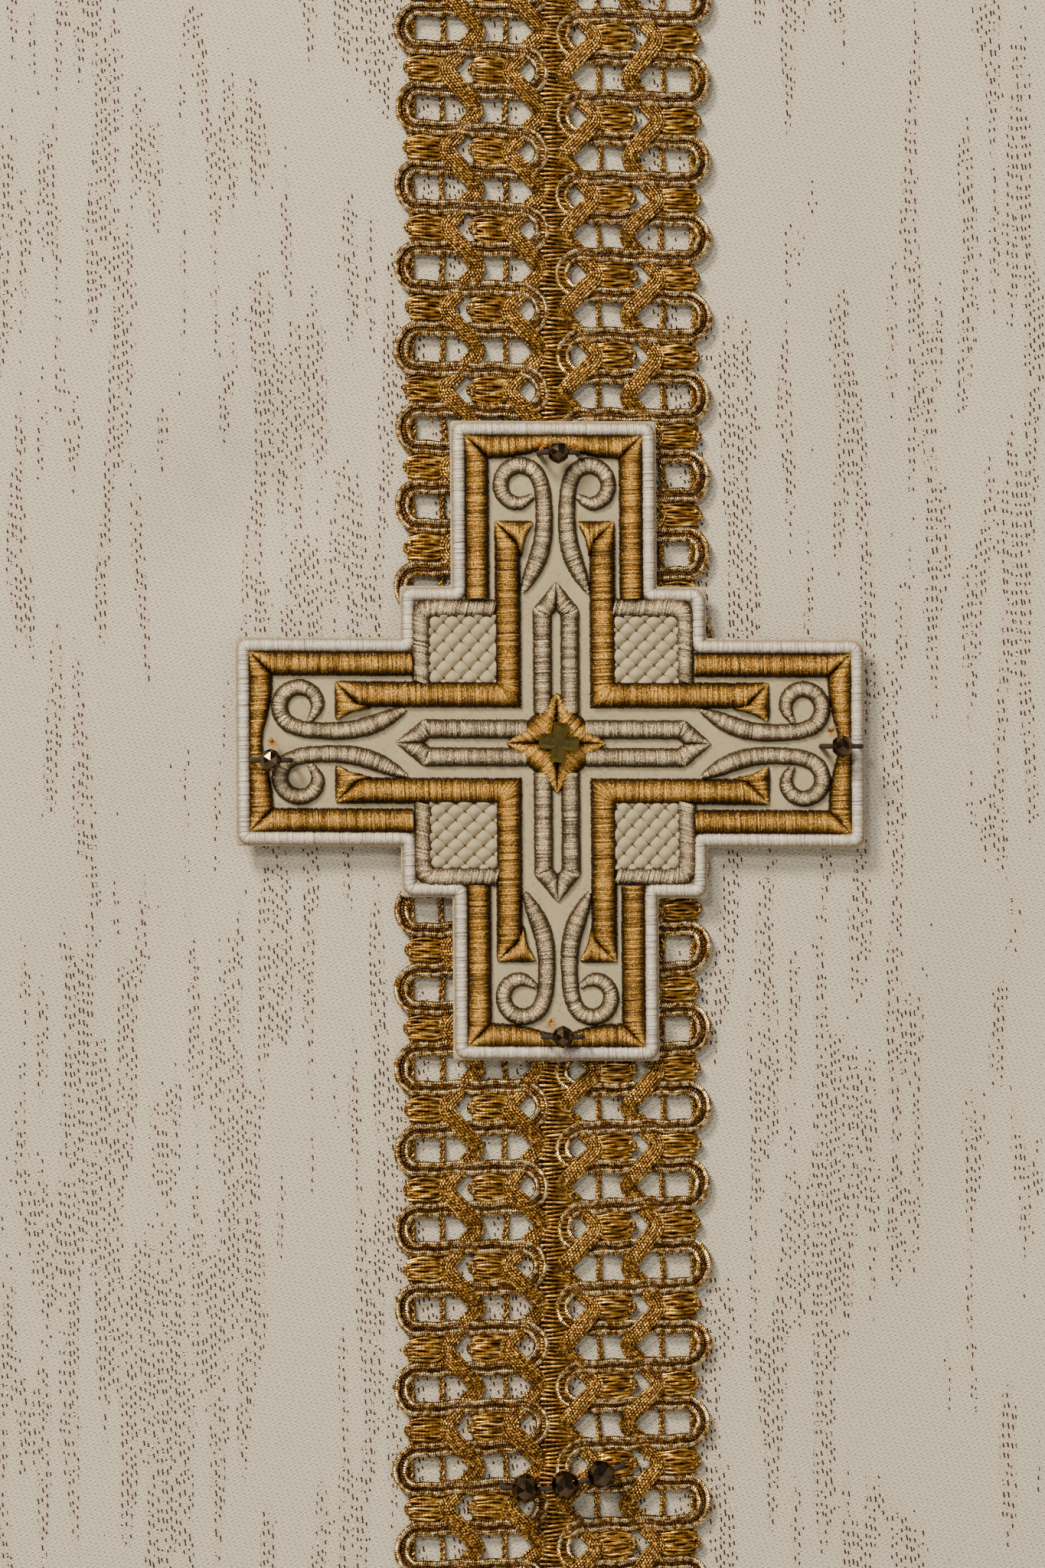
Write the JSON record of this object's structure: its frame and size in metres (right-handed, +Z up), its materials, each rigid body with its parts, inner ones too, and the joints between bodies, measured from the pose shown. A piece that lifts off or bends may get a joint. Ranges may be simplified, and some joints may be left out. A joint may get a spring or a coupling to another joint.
{
  "type": "chasuble",
  "caption": "Gothic chasuble hung as worn: two draped cloth panels, bound neck, woven gold column front and back, and an embroidered cross with faceted beads.",
  "frame": {"origin": "centre of the neck opening, level with the two neck ends of the shoulder seams", "axes": "+Z up, -Y the way the wearer faces, +X to the left of the wearer (to the right of someone facing the front)"},
  "size_m": [1.0464, 0.5418, 1.206],
  "materials": {
    "satin_cloth": "cream satin weave with scattered copper and gold metallic floats",
    "binding_cloth": "cream satin bias strip",
    "woven_gold": "wrapped and twisted gold yarns",
    "cream_felt": "matt cream felt",
    "cream_thread": "silky satin stitch",
    "gold_thread": "glossy rayon satin stitch",
    "champagne_thread": "glossy pale satin stitch",
    "dark_gold_metal": "polished dark gold",
    "bronze_bead": "mirror-bright cut facets",
    "sewing_thread": "orange-gold sewing thread"
  },
  "bodies": {
    "garment": {"back_galloon": "woven_gold", "back_panel": "satin_cloth", "bottom_bead_thread": "sewing_thread", "bottom_gold_frame": "gold_thread", "bottom_left_scroll": "champagne_thread", "bottom_right_scroll": "champagne_thread", "bottom_spear_outline": "champagne_thread", "centre_cross_stud": "dark_gold_metal", "centre_lozenge": "gold_thread", "cross_edge_border": "cream_thread", "cross_felt_base": "cream_felt", "front_galloon": "woven_gold", "front_panel": "satin_cloth", "left_bead_thread": "sewing_thread", "left_gold_frame": "gold_thread", "left_left_scroll": "champagne_thread", "left_right_scroll": "champagne_thread", "left_spear_outline": "champagne_thread", "lower_left_corner_border": "champagne_thread", "lower_left_gold_angle": "gold_thread", "lower_left_lattice_net": "gold_thread", "lower_left_lattice_pad": "cream_felt", "lower_right_corner_border": "champagne_thread", "lower_right_gold_angle": "gold_thread", "lower_right_lattice_net": "gold_thread", "lower_right_lattice_pad": "cream_felt", "neck_binding": "binding_cloth", "right_bead_thread": "sewing_thread", "right_gold_frame": "gold_thread", "right_left_scroll": "champagne_thread", "right_right_scroll": "champagne_thread", "right_spear_outline": "champagne_thread", "row_bead_thread": "sewing_thread", "top_bead_thread": "sewing_thread", "top_gold_frame": "gold_thread", "top_left_scroll": "champagne_thread", "top_right_scroll": "champagne_thread", "top_spear_outline": "champagne_thread", "upper_left_corner_border": "champagne_thread", "upper_left_gold_angle": "gold_thread", "upper_left_lattice_net": "gold_thread", "upper_left_lattice_pad": "cream_felt", "upper_right_corner_border": "champagne_thread", "upper_right_gold_angle": "gold_thread", "upper_right_lattice_net": "gold_thread", "upper_right_lattice_pad": "cream_felt"},
    "bottom_end_bead": {"bottom_end_bead": "bronze_bead"},
    "first_row_bead": {"first_row_bead": "bronze_bead"},
    "left_end_bead": {"left_end_bead": "bronze_bead"},
    "right_end_bead": {"right_end_bead": "bronze_bead"},
    "second_row_bead": {"second_row_bead": "bronze_bead"},
    "third_row_bead": {"third_row_bead": "bronze_bead"},
    "top_end_bead": {"top_end_bead": "bronze_bead"}
  },
  "joints": [
    {"name": "bottom_end_bead_spin", "type": "hinge", "parent": "garment", "child": "bottom_end_bead", "pos_m": [0.0005, -0.14595, -0.4382], "axis": [1, 0, 0], "continuous": true},
    {"name": "first_row_bead_spin", "type": "hinge", "parent": "garment", "child": "first_row_bead", "pos_m": [-0.0044, -0.14415, -0.497], "axis": [0.999, 0, -0.0454], "continuous": true},
    {"name": "left_end_bead_spin", "type": "hinge", "parent": "garment", "child": "left_end_bead", "pos_m": [-0.0374, -0.14595, -0.4023], "axis": [1, 0, 0], "continuous": true},
    {"name": "right_end_bead_spin", "type": "hinge", "parent": "garment", "child": "right_end_bead", "pos_m": [0.0367, -0.14595, -0.4005], "axis": [1, 0, 0], "continuous": true},
    {"name": "second_row_bead_spin", "type": "hinge", "parent": "garment", "child": "second_row_bead", "pos_m": [0.0008, -0.14415, -0.4966], "axis": [0.9806, 0, 0.1959], "continuous": true},
    {"name": "third_row_bead_spin", "type": "hinge", "parent": "garment", "child": "third_row_bead", "pos_m": [0.0055, -0.14415, -0.4952], "axis": [0.9298, 0, 0.3681], "continuous": true},
    {"name": "top_end_bead_spin", "type": "hinge", "parent": "garment", "child": "top_end_bead", "pos_m": [-0.0001, -0.14595, -0.3624], "axis": [1, 0, 0], "continuous": true}
  ]
}
